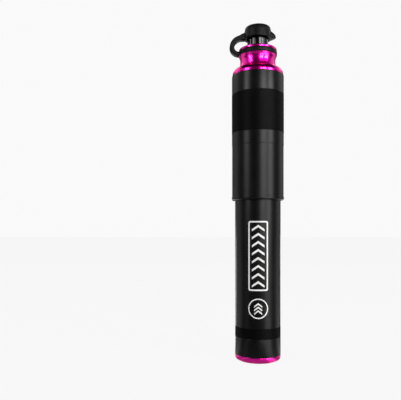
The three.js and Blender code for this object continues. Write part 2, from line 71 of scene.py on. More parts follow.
MM = 0.001
SEGMENTS = 192            # round a large turned piece
FINE_SEGMENTS = 96        # round a small one
FILLET_STEPS = 5
FILLET_ROOM = 0.48        # most of a side that one fillet may take
SMOOTH_ANGLE = math.radians(32)
MERGE, DEGENERATE, SLIVER, ON_AXIS = 1e-7, 1e-8, 1e-6, 1e-9     # distances that count as none


# ------------------------------------------------------------------ sizes read from the frame
def radius(node):
    low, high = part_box(node)
    return (high[1] - low[1]) / 2


def bottom(node):
    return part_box(node)[0][2]


def top(node):
    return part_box(node)[1][2]


BARREL_R = radius("barrel_tube")
SLEEVE_R = radius("grip_sleeve")          # over the knurled band and the lip
PLUG_R = radius("end_plug")
HEAD_R = radius("head_collar")
NUT_R = radius("chuck_nut")
RING_R = radius("tether_ring")
ROD_R = radius("piston_rod")
HOSE_R = radius("air_hose")
INSERT_R = radius("thread_insert")
GUIDE_R = radius("rod_guide")

BARREL_LOW, BARREL_TOP = bottom("barrel_tube"), top("barrel_tube")
SLEEVE_LOW, SLEEVE_TOP = bottom("grip_sleeve"), top("grip_sleeve")
HEAD_LOW, HEAD_TOP = bottom("head_collar"), top("head_collar")
RING_LOW, RING_TOP = bottom("tether_ring"), top("tether_ring")
NUT_LOW, NUT_TOP = bottom("chuck_nut"), top("chuck_nut")
CAP_RIM, CAP_TOP = bottom("dust_cap"), top("dust_cap")

# Sizes of the visible details
BARREL_WALL = 1.5 * MM
BAND_LOW = BARREL_LOW + 10 * MM           # knurled band on the barrel
BAND_HIGH = BAND_LOW + 5.7 * MM
GRIP_HIGH = SLEEVE_TOP - 10.5 * MM        # knurled band on the sleeve
GRIP_LOW = GRIP_HIGH - 21.8 * MM
GRIP_PROUD = 0.08 * MM
RELIEF_HIGH = GRIP_LOW - 7.2 * MM         # the sleeve is a touch thinner below this
RELIEF_DEPTH = 0.1 * MM
SLEEVE_WALL = 1.4 * MM
LIP_HEIGHT = 2.1 * MM
KNURL_SEAT = 0.3 * MM                     # depth of the seat that a knurled ring fills
NECK_R = RING_R - 0.95 * MM
HEAD_BORE_R = NUT_R + 0.4 * MM
CAP_RIM_R = HEAD_BORE_R + 1.35 * MM
CAP_CROWN_R = HEAD_BORE_R + 0.75 * MM


# ------------------------------------------------------------------ camera, lights and stage
VIEW_DISTANCE = 286 * MM
VIEW_HEIGHT = 72 * MM
VIEW_SIDE = -32.3 * MM
LENS_MM, SENSOR_MM = 45.5, 36
RISE = 0.0786             # lens shift that lifts the frame over the horizon


def add_camera():
    """A level camera in front of the pump and a little to its left."""
    data = bpy.data.cameras.new("camera")
    data.lens = LENS_MM
    data.sensor_width = SENSOR_MM
    data.shift_y = RISE
    camera = bpy.data.objects.new("camera", data)
    camera.location = (VIEW_SIDE, -VIEW_DISTANCE, VIEW_HEIGHT)
    camera.rotation_euler = (math.radians(90), 0, 0)
    bpy.context.collection.objects.link(camera)
    bpy.context.scene.camera = camera


def add_softbox(name, azimuth, elevation, distance, width, height, radiance):
    """An area light seen from the pump at azimuth degrees from -Y towards +X."""
    data = bpy.data.lights.new(name, "AREA")
    data.shape = "RECTANGLE"
    data.size, data.size_y = width, height
    data.energy = radiance * math.pi * width * height
    lamp = bpy.data.objects.new(name, data)
    lamp.visible_camera = False
    turn, lift = math.radians(azimuth), math.radians(elevation)
    aim = np.array([math.sin(turn) * math.cos(lift), -math.cos(turn) * math.cos(lift), math.sin(lift)])
    middle = np.array([0, 0, (CAD_BOX[0][2] + CAD_BOX[1][2]) / 2])
    lamp.location = middle + distance * aim
    lamp.rotation_euler = (math.pi / 2 - lift, 0, turn)
    bpy.context.collection.objects.link(lamp)


# ------------------------------------------------------------------ node trees
class Value:
    """A socket in a node tree. Arithmetic on it adds Math nodes to the tree."""

    def __init__(self, tree, socket):
        self.tree = tree
        self.socket = socket

    def math(self, operation, *others):
        return add_node(self.tree, "ShaderNodeMath", {"operation": operation}, [self, *others])

    def __add__(self, other):
        return self.math("ADD", other)

    __radd__ = __add__

    def __mul__(self, other):
        return self.math("MULTIPLY", other)

    __rmul__ = __mul__

    def __sub__(self, other):
        return self.math("SUBTRACT", other)

    def __rsub__(self, other):
        return (self * -1) + other

    def __truediv__(self, other):
        return self.math("DIVIDE", other)

    def step(self, low, high):
        """0 below low and 1 above high, eased between them."""
        ranged = {"interpolation_type": "SMOOTHSTEP"}
        sockets = {"Value": self, "From Min": low, "From Max": high, "To Min": 0, "To Max": 1}
        return add_node(self.tree, "ShaderNodeMapRange", ranged, sockets)

    def fold(self):
        """A wave of straight flanks that runs from 0 to 1 and back over each 2."""
        return self.math("PINGPONG", 1)


def add_node(tree, kind, settings=None, sockets=None, output=0):
    """Adds a node, sets its settings, then its sockets by name or in order."""
    made = tree.nodes.new(kind)
    for name, setting in (settings or {}).items():
        if name == "stops":
            set_stops(made.color_ramp, setting)
        else:
            setattr(made, name, setting)
    if not isinstance(sockets, dict):
        sockets = dict(enumerate(sockets or []))
    for key, value in sockets.items():
        socket = made.inputs[key]
        if isinstance(value, Value):
            tree.links.new(value.socket, socket)
        else:
            socket.default_value = value
    return Value(tree, made.outputs[output]) if made.outputs else made


def set_stops(ramp, stops):
    while len(ramp.elements) > 1:
        ramp.elements.remove(ramp.elements[-1])
    for index, (place, colour) in enumerate(stops):
        element = ramp.elements[0] if index == 0 else ramp.elements.new(place)
        element.position = place
        element.color = (*colour, 1)


class Finish:
    """A material in the making: a Principled shader on Object coordinates."""

    def __init__(self, name):
        self.material = bpy.data.materials.new(name)
        self.material.use_nodes = True
        self.tree = self.material.node_tree
        self.shader = self.tree.nodes["Principled BSDF"]
        self.place = self.node("ShaderNodeTexCoord", output="Object")

    def node(self, kind, settings=None, sockets=None, output=0):
        return add_node(self.tree, kind, settings, sockets, output)

    def set(self, **sockets):
        for name, value in sockets.items():
            socket = self.shader.inputs[name.replace("_", " ")]
            if isinstance(value, Value):
                self.tree.links.new(value.socket, socket)
            else:
                socket.default_value = value

    def noise(self, scale, detail=3, stretch=(1, 1, 1)):
        """Noise of about 0 to 1, its scale in features per metre along each axis."""
        spread = self.node("ShaderNodeMapping", None, {"Vector": self.place, "Scale": stretch})
        return self.node("ShaderNodeTexNoise", None, {"Vector": spread, "Scale": scale, "Detail": detail})

    def axis(self, letter):
        return self.node("ShaderNodeSeparateXYZ", None, [self.place], output=letter)

    def mix(self, share, first, second):
        """A colour between two, by a share from 0 to 1."""
        sockets = {"Factor": share, 6: (*first, 1), 7: (*second, 1)}
        return self.node("ShaderNodeMix", {"data_type": "RGBA"}, sockets, output=2)

    def bump(self, height, depth):
        return self.node("ShaderNodeBump", None, {"Height": height, "Distance": depth})


def anodised_black():
    """Satin black anodising over a bead-blasted tube, with faint turning lines and handling marks."""
    f = Finish("black_anodised")
    grain = f.noise(5200, 2)
    turning = f.noise(160, 2, stretch=(1, 1, 42))
    marks = f.noise(70, 4)
    f.set(
        Base_Color=f.mix(marks.step(0.45, 0.75), (0.001, 0.001, 0.0012), (0.0022, 0.0022, 0.0025)),
        Roughness=0.24 + marks * 0.1 + grain * 0.05,
        Normal=f.bump(grain * 0.6 + turning * 0.4, 0.006 * MM),
        Specular_IOR_Level=0.2,
    )
    return f.material


def knurled_black():
    """The same anodising on cut diamonds, rougher than on the plain tube."""
    f = Finish("black_knurled")
    grain = f.noise(6500, 3)
    marks = f.noise(120, 3)
    f.set(
        Base_Color=f.mix(marks, (0.001, 0.001, 0.0011), (0.0022, 0.0022, 0.0024)),
        Roughness=0.34 + grain * 0.16,
        Normal=f.bump(grain, 0.014 * MM),
        Specular_IOR_Level=0.035,
    )
    return f.material


def anodised_magenta():
    """Bright turned aluminium under a clear magenta dye."""
    f = Finish("magenta_anodised")
    turning = f.noise(150, 3, stretch=(1, 1, 60))
    haze = f.noise(90, 3)
    f.set(
        Base_Color=f.mix(haze.step(0.3, 0.8), (0.97, 0.003, 0.40), (0.86, 0.002, 0.35)),
        Roughness=0.2 + haze * 0.09,
        Normal=f.bump(turning, 0.004 * MM),
        Metallic=1.0,
        Specular_Tint=(0.98, 0.1, 0.5, 1.0),
        Coat_Weight=0.6,
        Coat_Roughness=0.06,
    )
    return f.material


def chuck_chrome():
    """Black chrome on the chuck, a little brighter in worn patches."""
    f = Finish("chuck_black_chrome")
    turning = f.noise(200, 2, stretch=(1, 1, 30))
    marks = f.noise(260, 3)
    f.set(
        Base_Color=f.mix(marks.step(0.5, 0.8), (0.035, 0.035, 0.036), (0.055, 0.055, 0.057)),
        Roughness=0.14 + marks * 0.1,
        Normal=f.bump(turning, 0.004 * MM),
        Metallic=1.0,
    )
    return f.material


def moulded_rubber(name="cap_rubber", tone=0.0008, roughness=0.4):
    """Satin moulded rubber with a fine spark-eroded grain and a little bloom."""
    f = Finish(name)
    grain = f.noise(7000, 3)
    bloom = f.noise(160, 4)
    light = 1.9 * tone
    f.set(
        Base_Color=f.mix(bloom.step(0.4, 0.8), (tone, tone, tone), (light, light, light * 1.02)),
        Roughness=roughness + bloom * 0.14,
        Normal=f.bump(grain, 0.016 * MM),
        Specular_IOR_Level=0.15,
    )
    return f.material


def printed_white():
    """Pad-printed ink, a little thin in places."""
    f = Finish("white_ink")
    cover = f.noise(2600, 3)
    f.set(
        Base_Color=f.mix(cover.step(0.25, 0.6), (0.5, 0.5, 0.5), (0.68, 0.68, 0.67)),
        Roughness=0.5 + cover * 0.1,
        Normal=f.bump(cover, 0.008 * MM),
    )
    return f.material


def plain_metal(name, colour, dark, roughness):
    """Turned and polished bare metal."""
    f = Finish(name)
    turning = f.noise(220, 3, stretch=(1, 1, 40))
    marks = f.noise(300, 4)
    f.set(
        Base_Color=f.mix(marks.step(0.35, 0.8), colour, dark),
        Roughness=roughness + marks * 0.12,
        Normal=f.bump(turning, 0.005 * MM),
        Metallic=1.0,
    )
    return f.material


def moulded_plastic():
    """Injection-moulded plastic with faint flow marks."""
    f = Finish("black_plastic")
    grain = f.noise(5000, 3)
    flow = f.noise(90, 3)
    f.set(
        Base_Color=f.mix(flow, (0.012, 0.012, 0.013), (0.02, 0.02, 0.022)),
        Roughness=0.38 + flow * 0.12,
        Normal=f.bump(grain, 0.01 * MM),
    )
    return f.material


# The floor, for the camera and then for the light that it throws back
FLOOR_SIZE = 12                           # metres
FLOOR_GLOW, FLOOR_SHADE = 0.915, 0.03     # its own glow, and the paint that catches shadows
FLOOR_BOUNCE = 0.26
NEAR_GLOW, NEAR_EDGE = 0.2, (0.02, 0.05)  # round the foot, fading out between two radii
CARD_FADE = (0.0, 0.045)                  # radii between which the cards fade in
CARD_SOFT = (4, -3)                       # degrees beyond and within the edge of a card
CARDS = ((43, 14, 2.6), (108, 15, 0.8), (158, 10, 2.4), (-155, 10, 2.4), (-108, 15, 0.8), (-60, 6, 0.5))
# The sky: radiances, and how far back or how high each part fades in or out on a unit sphere
SKY_FRONT, SKY_SIDE, SKY_REAR, SKY_TOP = 0.02, 1.1, 0.2, 0.35
REAR_FADE, SIDE_FADE, SIDE_END, TOP_FADE = (0.45, 0.85), (0.08, 0.5), (0.45, 0.7), (0.3, 0.8)
SIDE_LEAN = 0.8                           # how far the side's front edge leans back with height
PALE = 0.95                               # all of it, for the camera


def stage_floor():
    """Evenly pale to the camera. Reflections see a dim floor with white cards that fan out
    from the pump, each an azimuth from -Y towards +X, half its angle, and a radiance."""
    material = bpy.data.materials.new("floor_pale")
    material.use_nodes = True
    tree = material.node_tree
    tree.nodes.clear()
    place = add_node(tree, "ShaderNodeTexCoord", output="Object")
    x = add_node(tree, "ShaderNodeSeparateXYZ", None, [place], output="X")
    y = add_node(tree, "ShaderNodeSeparateXYZ", None, [place], output="Y")
    out = (x * x + y * y).math("SQRT")
    cards = out * 0
    for azimuth, half, radiance in CARDS:
        turn = math.radians(azimuth)
        towards = (x * math.sin(turn) - y * math.cos(turn)) / out
        edges = [math.cos(math.radians(half + soft)) for soft in CARD_SOFT]
        cards = cards + towards.step(*edges) * radiance
    seen = add_node(tree, "ShaderNodeLightPath", output="Is Camera Ray")
    lit = add_node(tree, "ShaderNodeBsdfDiffuse", None, {"Color": (FLOOR_SHADE,) * 3 + (1,)})
    glow = add_node(tree, "ShaderNodeEmission", None, {"Strength": FLOOR_GLOW})
    pale = add_node(tree, "ShaderNodeAddShader", None, [lit, glow])
    dim = add_node(tree, "ShaderNodeBsdfDiffuse", None, {"Color": (FLOOR_BOUNCE,) * 3 + (1,)})
    near = (1 - out.step(*NEAR_EDGE)) * NEAR_GLOW
    card = add_node(tree, "ShaderNodeEmission", None, {"Strength": cards * out.step(*CARD_FADE) + near})
    under = add_node(tree, "ShaderNodeAddShader", None, [dim, card])
    mixed = add_node(tree, "ShaderNodeMixShader", None, [seen, under, pale])
    add_node(tree, "ShaderNodeOutputMaterial", None, {"Surface": mixed})
    return material


def add_stage():
    """A floor and a sky that the camera sees pale and the pump sees dim, and softboxes all round."""
    bpy.ops.mesh.primitive_plane_add(size=FLOOR_SIZE)
    floor = bpy.context.object
    floor.name = "floor"
    floor.data.materials.append(stage_floor())

    world = bpy.data.worlds.new("studio")
    world.use_nodes = True
    bpy.context.scene.world = world
    tree = world.node_tree
    tree.nodes.clear()
    way = add_node(tree, "ShaderNodeTexCoord", output="Generated")
    depth = add_node(tree, "ShaderNodeSeparateXYZ", None, [way], output="Y")
    height = add_node(tree, "ShaderNodeSeparateXYZ", None, [way], output="Z")
    rear = depth.step(*REAR_FADE)
    side = (depth + height * SIDE_LEAN).step(*SIDE_FADE) * (1 - rear) * (1 - height.step(*SIDE_END))
    light = SKY_FRONT + side * SKY_SIDE + rear * SKY_REAR + height.step(*TOP_FADE) * rear * SKY_TOP
    seen = add_node(tree, "ShaderNodeLightPath", output="Is Camera Ray")
    dim = add_node(tree, "ShaderNodeBackground", None, {"Strength": light})
    pale = add_node(tree, "ShaderNodeBackground", None, {"Color": (PALE, PALE, PALE, 1)})
    both = add_node(tree, "ShaderNodeMixShader", None, [seen, dim, pale])
    add_node(tree, "ShaderNodeOutputWorld", None, {"Surface": both})

    add_softbox("key_box", azimuth=19.5, elevation=7, distance=0.8, width=0.35, height=0.62, radiance=5.2)
    add_softbox("side_box", azimuth=51, elevation=7, distance=0.8, width=0.29, height=0.62, radiance=5.8)
    add_softbox("fill_box", azimuth=-56, elevation=20, distance=0.8, width=0.27, height=0.5, radiance=4)
    add_softbox("key_top", azimuth=19.5, elevation=22, distance=0.78, width=0.2, height=0.18, radiance=11)
    add_softbox("side_top", azimuth=51, elevation=22, distance=0.78, width=0.18, height=0.18, radiance=10)
    add_softbox("fill_top", azimuth=-56, elevation=23, distance=0.78, width=0.13, height=0.16, radiance=8)
    add_softbox("rear_box_right", azimuth=140, elevation=40, distance=0.9, width=0.5, height=0.4, radiance=1)
    add_softbox("rear_box_left", azimuth=-140, elevation=40, distance=0.9, width=0.5, height=0.4, radiance=1)
    bpy.context.scene.view_settings.view_transform = "Standard"


# ------------------------------------------------------------------ turned and lofted pieces
def rounded(corners, steps=FILLET_STEPS):
    """The points of a closed outline of (radius, height) corners. A third number is a fillet."""
    points = []
    for index, (r, z, *fillet) in enumerate(corners):
        here = np.array([r, z])
        if not fillet:
            points.append(here)
            continue
        before = np.array(corners[index - 1][:2]) - here
        after = np.array(corners[(index + 1) % len(corners)][:2]) - here
        room = FILLET_ROOM * min(np.linalg.norm(before), np.linalg.norm(after))
        before, after = before / np.linalg.norm(before), after / np.linalg.norm(after)
        half = math.acos(np.clip(before @ after, -1, 1)) / 2
        reach = min(fillet[0] / math.tan(half), room)
        middle = here + (before + after) / np.linalg.norm(before + after) * reach / math.cos(half)
        sweep = math.pi - 2 * half
        start, end = here + before * reach - middle, here + after * reach - middle
        for step in range(steps + 1):
            share = step / steps
            swung = math.sin((1 - share) * sweep) * start + math.sin(share * sweep) * end
            points.append(middle + swung / math.sin(sweep))
    return points


def new_piece(name, mesh, material):
    """An object at the origin with smooth faces that break at real edges."""
    piece = bpy.data.objects.new(name, mesh)
    bpy.context.collection.objects.link(piece)
    mesh.materials.clear()
    mesh.materials.append(material)
    mesh.shade_smooth()
    mesh.set_sharp_from_angle(angle=SMOOTH_ANGLE)
    return piece


def mesh_from(name, points, faces):
    """A mesh whose doubles are merged and whose faces all point outwards."""
    mesh = bpy.data.meshes.new(name)
    mesh.from_pydata([tuple(point) for point in points], [], faces)
    shape = bmesh.new()
    shape.from_mesh(mesh)
    bmesh.ops.remove_doubles(shape, verts=shape.verts, dist=MERGE)
    bmesh.ops.dissolve_degenerate(shape, edges=shape.edges, dist=DEGENERATE)
    bmesh.ops.recalc_face_normals(shape, faces=shape.faces)
    shape.to_mesh(mesh)
    shape.free()
    return mesh


def turned_mesh(name, outline, segments=SEGMENTS):
    """A closed outline turned about Z. Where it runs along the axis, nothing is left of it."""
    count = len(outline)
    points, faces = [], []
    for step in range(segments):
        angle = 2 * math.pi * step / segments
        points += [(r * math.cos(angle), r * math.sin(angle), z) for r, z in outline]
    for step in range(segments):
        here, there = step * count, (step + 1) % segments * count
        for index in range(count):
            after = (index + 1) % count
            if outline[index][0] < ON_AXIS and outline[after][0] < ON_AXIS:
                continue
            faces.append((here + index, there + index, there + after, here + after))
    return mesh_from(name, points, faces)


def turned(name, corners, material, segments=SEGMENTS):
    """A turned piece from its corners of (radius, height, fillet)."""
    return new_piece(name, turned_mesh(name, rounded(corners), segments), material)


def lofted_mesh(name, rings):
    """Rings of the same number of points joined in a row and closed at both ends."""
    count = len(rings[0])
    points = [point for ring in rings for point in ring]
    faces = [tuple(range(count)), tuple(range(len(points) - count, len(points)))]
    for row in range(len(rings) - 1):
        for index in range(count):
            after = (index + 1) % count
            here = row * count
            faces.append((here + index, here + after, here + count + after, here + count + index))
    return mesh_from(name, points, faces)


def place(piece, body, slot, *stands_for):
    """Gives a piece its body and hides the frame's nodes that it stands for. Its slot is not used."""
    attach(piece, body)
    if stands_for:
        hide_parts(*stands_for)
    return piece


# ------------------------------------------------------------------ Geometry Nodes
SOCKET_KINDS = {int: "NodeSocketInt", float: "NodeSocketFloat"}


class Shaper:
    """A Geometry Nodes tree in the making. Its inputs are sizes with names."""

    def __init__(self, name, **sizes):
        self.tree = bpy.data.node_groups.new(name, "GeometryNodeTree")
        interface = self.tree.interface
        interface.new_socket("Geometry", in_out="INPUT", socket_type="NodeSocketGeometry")
        interface.new_socket("Geometry", in_out="OUTPUT", socket_type="NodeSocketGeometry")
        for label, size in sizes.items():
            made = interface.new_socket(label, in_out="INPUT", socket_type=SOCKET_KINDS[type(size)])
            made.default_value = size
        self.inputs = self.tree.nodes.new("NodeGroupInput")

    def __getitem__(self, label):
        return Value(self.tree, self.inputs.outputs[label])

    def node(self, kind, settings=None, sockets=None, output=0):
        return add_node(self.tree, kind, settings, sockets, output)

    def position(self, letter):
        where = self.node("GeometryNodeInputPosition")
        return self.node("ShaderNodeSeparateXYZ", None, [where], output=letter)

    def vector(self, x, y, z):
        return self.node("ShaderNodeCombineXYZ", None, [x, y, z])

    def finish(self, shape, material):
        real = self.node("GeometryNodeRealizeInstances", None, [shape])
        dressed = self.node("GeometryNodeSetMaterial", None, {"Geometry": real, "Material": material})
        self.node("NodeGroupOutput", None, [dressed])

    def sink_walls(self, relief, floor, material):
        """Draws outer walls, from radius floor outwards, in towards the axis by relief."""
        x, y = self.position("X"), self.position("Y")
        out = (x * x + y * y).math("SQRT")
        share = relief * out.math("GREATER_THAN", floor) / out
        offset = self.vector(x * share * -1, y * share * -1, 0.0)
        moved = self.node("GeometryNodeSetPosition", None, {"Geometry": self["Geometry"], "Offset": offset})
        self.finish(moved, material)

    def turn(self):
        """The share of a full turn about Z, from -0.5 to 0.5."""
        return self.position("Y").math("ARCTAN2", self.position("X")) / (2 * math.pi)

    def shape(self, name, mesh, material, **sizes):
        """The piece that this tree makes of a mesh, as a plain mesh."""
        source = bpy.data.objects.new(name + "_source", mesh)
        bpy.context.collection.objects.link(source)
        modifier = source.modifiers.new("shaper", "NODES")
        modifier.node_group = self.tree
        for item in self.tree.interface.items_tree:
            if item.in_out == "INPUT" and item.name in sizes:
                modifier[item.identifier] = sizes[item.name]
        graph = bpy.context.evaluated_depsgraph_get()
        result = bpy.data.meshes.new_from_object(source.evaluated_get(graph), depsgraph=graph)
        bpy.data.objects.remove(source)
        result.name = name
        return new_piece(name, result, material)


CREST_FLAT = 1.2          # flanks steeper than a full V by this leave blunt crests
FLUTE_EASE = (0.2, 0.5)   # from the edge of a crest to a hollow's full depth
GROOVE_EASE = (0.35, 0.8)
THREAD_STEPS = 40         # mesh steps to one turn


def knurl_tree(material):
    """Two crossing sets of V grooves that leave blunt diamonds."""
    tree = Shaper("diamond_knurl", Count=90, Rows=20, Low=0.0, High=0.02, Depth=0.0001, Floor=0.01)
    around = tree.turn() * tree["Count"] * 2
    along = (tree.position("Z") - tree["Low"]) / (tree["High"] - tree["Low"]) * tree["Rows"] * 2
    crest = (around + along).fold().math("MINIMUM", (around - along).fold())
    relief = (1 - crest * CREST_FLAT).math("MAXIMUM", 0) * tree["Depth"]
    tree.sink_walls(relief, tree["Floor"], material)
    return tree


def flute_tree(material):
    """Rounded hollows side by side round a nut, with narrow crests between them."""
    tree = Shaper("flutes", Count=20, Low=0.0, High=0.02, Fade=0.001, Depth=0.0003, Floor=0.005)
    hollow = ((tree.turn() * tree["Count"]).math("FRACT") * math.pi).math("SINE").step(*FLUTE_EASE)
    z = tree.position("Z")
    low, high, fade = tree["Low"], tree["High"], tree["Fade"]
    ends = ((z - low) / fade).step(0, 1) * ((high - z) / fade).step(0, 1)
    tree.sink_walls(hollow * ends * tree["Depth"], tree["Floor"], material)
    return tree


def rib_tree(material):
    """Grooves cut round a hose at an even pitch between two heights."""
    tree = Shaper("hose_grooves", Low=0.0, High=0.02, Pitch=0.001, Depth=0.0002, Floor=0.002)
    z = tree.position("Z")
    inside = z.math("GREATER_THAN", tree["Low"]) * z.math("LESS_THAN", tree["High"])
    groove = ((z - tree["Low"]) / tree["Pitch"] * 2).fold().step(*GROOVE_EASE)
    tree.sink_walls(groove * inside * tree["Depth"], tree["Floor"], material)
    return tree


def print_tree(material):
    """Copies of a flat mark in a column, wrapped round a tube: X runs round it and Y out of it."""
    tree = Shaper("printed_marks", Count=1, Pitch=0.004, Radius=0.01, Turn=0.0, Height=0.0)
    step = tree.vector(0.0, 0.0, tree["Pitch"])
    start = tree.vector(0.0, 0.0, tree["Height"])
    column = tree.node("GeometryNodeMeshLine", None,
                       {"Count": tree["Count"], "Start Location": start, "Offset": step})
    marks = tree.node("GeometryNodeInstanceOnPoints", None, {"Points": column, "Instance": tree["Geometry"]})
    real = tree.node("GeometryNodeRealizeInstances", None, [marks])
    angle = tree.position("X") / tree["Radius"] + tree["Turn"]
    reach = tree.position("Y") * -1 + tree["Radius"]
    wrapped = tree.vector(angle.math("SINE") * reach, angle.math("COSINE") * reach * -1, tree.position("Z"))
    moved = tree.node("GeometryNodeSetPosition", None, {"Geometry": real, "Position": wrapped})
    tree.finish(moved, material)
    return tree


def thread_tree(material):
    """A screw thread: a triangle swept along a helix."""
    tree = Shaper("screw_thread", Radius=0.004, Pitch=0.001, Turns=8.0, Height=0.0, Size=0.0004)
    helix = tree.node("GeometryNodeCurveSpiral", None, {
        "Resolution": THREAD_STEPS, "Rotations": tree["Turns"], "Start Radius": tree["Radius"],
        "End Radius": tree["Radius"], "Height": tree["Turns"] * tree["Pitch"],
    })
    ridge = tree.node("GeometryNodeCurvePrimitiveCircle", None, {"Resolution": 3, "Radius": tree["Size"]})
    swept = tree.node("GeometryNodeCurveToMesh", None,
                      {"Curve": helix, "Profile Curve": ridge, "Fill Caps": True})
    lifted = tree.node("GeometryNodeTransform", None,
                       {"Geometry": swept, "Translation": tree.vector(0.0, 0.0, tree["Height"])})
    tree.finish(lifted, material)
    return tree


# ------------------------------------------------------------------ barrel
def make_plug(magenta):
    """The foot, with a well-rounded edge, and the spigot that fits the barrel."""
    low, high = bottom("end_plug"), top("end_plug")
    fillet = 2.2 * MM
    spigot = BARREL_R - BARREL_WALL - 0.1 * MM
    flange_top = BARREL_LOW - 0.02 * MM
    return turned("plug_body", [
        (0, low),
        (PLUG_R - fillet, low, 0.9 * MM),
        (PLUG_R - 0.12 * fillet, low + 0.42 * fillet, 1.8 * MM),
        (PLUG_R, low + 1.1 * fillet, 1.6 * MM),
        (PLUG_R, flange_top, 0.12 * MM),
        (spigot, flange_top),
        (spigot, high, 0.3 * MM),
        (0, high),
    ], magenta)


def make_barrel(black):
    """The tube, with a seat for its knurled ring."""
    bore = BARREL_R - BARREL_WALL
    seat = BARREL_R - KNURL_SEAT
    edge = 0.15 * MM
    return turned("barrel_shell", [
        (bore, BARREL_LOW),
        (BARREL_R, BARREL_LOW, 0.2 * MM),
        (BARREL_R, BAND_LOW, edge),
        (seat, BAND_LOW),
        (seat, BAND_HIGH),
        (BARREL_R, BAND_HIGH, edge),
        (BARREL_R, BARREL_TOP, 0.3 * MM),
        (bore, BARREL_TOP),
    ], black)


KNURL_SAMPLES = 4         # mesh steps to one diamond
KNURL_PITCH, KNURL_DEPTH = 1.0 * MM, 0.14 * MM


def make_knurl(name, tree, material, outer, low, high):
    """A knurled ring that fills a seat in a tube."""
    inner = outer - KNURL_SEAT - 0.05 * MM
    count = round(2 * math.pi * outer / KNURL_PITCH)
    rows = round((high - low) / KNURL_PITCH)
    steps = rows * KNURL_SAMPLES
    outline = [(inner, low), *[(outer, low + (high - low) * step / steps) for step in range(steps + 1)],
               (inner, high)]
    mesh = turned_mesh(name, outline, count * KNURL_SAMPLES)
    return tree.shape(name, mesh, material, Count=count, Rows=rows, Low=low, High=high,
                      Depth=KNURL_DEPTH, Floor=outer - 0.1 * MM)


def make_guide(plastic):
    """The guide in the barrel's open end, with a recess in its face round the rod."""
    bore = ROD_R + 0.1 * MM
    spigot = BARREL_R - BARREL_WALL - 0.05 * MM
    low, high = bottom("rod_guide"), top("rod_guide")
    recess = high - 0.6 * MM
    edge = 0.2 * MM
    return turned("guide_body", [
        (bore, low, 0.3 * MM),
        (spigot, low, 0.4 * MM),
        (spigot, BARREL_TOP),
        (GUIDE_R, BARREL_TOP),
        (GUIDE_R, high, 0.5 * MM),
        (GUIDE_R - 2.6 * MM, high, edge),
        (GUIDE_R - 2.9 * MM, recess, edge),
        (ROD_R + 2.2 * MM, recess, edge),
        (ROD_R + 1.9 * MM, high, edge),
        (bore, high, 0.35 * MM),
    ], plastic)


# ------------------------------------------------------------------ printed mark
INK = 0.03 * MM
PRINT_TURN = math.radians(-5.3)
FRAME_SPAN = math.radians(49)
FRAME_LOW, FRAME_HIGH = 39.9 * MM, 77.7 * MM
FRAME_LINE, FRAME_CORNERS = 0.8 * MM, (1.1 * MM, 0.5 * MM)
CHEVRONS = 8
CHEVRON_WIDTH, CHEVRON_RISE, CHEVRON_LINE = 6.8 * MM, 2.3 * MM, 1.25 * MM
BADGE_MIDDLE, BADGE_R, BADGE_LINE = 30.3 * MM, 5.5 * MM, 0.62 * MM
BADGE_SEGMENTS = 72
ARROWS, ARROW_PITCH, ARROW_DROP = 3, 1.9 * MM, 1.6 * MM
ARROW_WIDTH, ARROW_RISE, ARROW_LINE = 4.4 * MM, 1.7 * MM, 0.9 * MM
BEND_STEP = 0.4 * MM      # width of the strips that a flat mark is cut into to bend


def plate_mesh(name, loops):
    """Flat faces in the XZ plane given the ink's thickness, and cut into strips that can bend."""
    shape = bmesh.new()
    for loop in loops:
        shape.faces.new([shape.verts.new((x, -INK, z)) for x, z in loop])
    bmesh.ops.remove_doubles(shape, verts=shape.verts, dist=MERGE)
    reach = max(abs(vertex.co.x) for vertex in shape.verts)
    cuts = int(reach / BEND_STEP)
    for cut in range(-cuts, cuts + 1):
        whole = [*shape.verts, *shape.edges, *shape.faces]
        bmesh.ops.bisect_plane(shape, geom=whole, dist=SLIVER, plane_co=(cut * BEND_STEP, 0, 0),
                               plane_no=(1, 0, 0))
    raised = bmesh.ops.extrude_face_region(shape, geom=shape.faces[:])
    moved = [item for item in raised["geom"] if isinstance(item, bmesh.types.BMVert)]
    bmesh.ops.translate(shape, verts=moved, vec=(0, 2 * INK, 0))
    bmesh.ops.recalc_face_normals(shape, faces=shape.faces)
    mesh = bpy.data.meshes.new(name)
    shape.to_mesh(mesh)
    shape.free()
    return mesh


def band_between(outer, inner):
    """Four-sided faces between two closed loops of the same number of points."""
    count = len(outer)
    return [(outer[i], outer[(i + 1) % count], inner[(i + 1) % count], inner[i]) for i in range(count)]


def box_loop(half_width, half_height, corner):
    """A rectangle's outline with rounded corners, about the origin."""
    square = [(half_width, -half_height, corner), (half_width, half_height, corner),
              (-half_width, half_height, corner), (-half_width, -half_height, corner)]
    return [tuple(point) for point in rounded(square)]


def chevron_loops(width, rise, line):
    """One upward chevron as two slanting bars that meet in the middle."""
    half = width / 2
    return [[(0, 0), (0, line), (side * half, line - rise), (side * half, -rise)] for side in (-1, 1)]


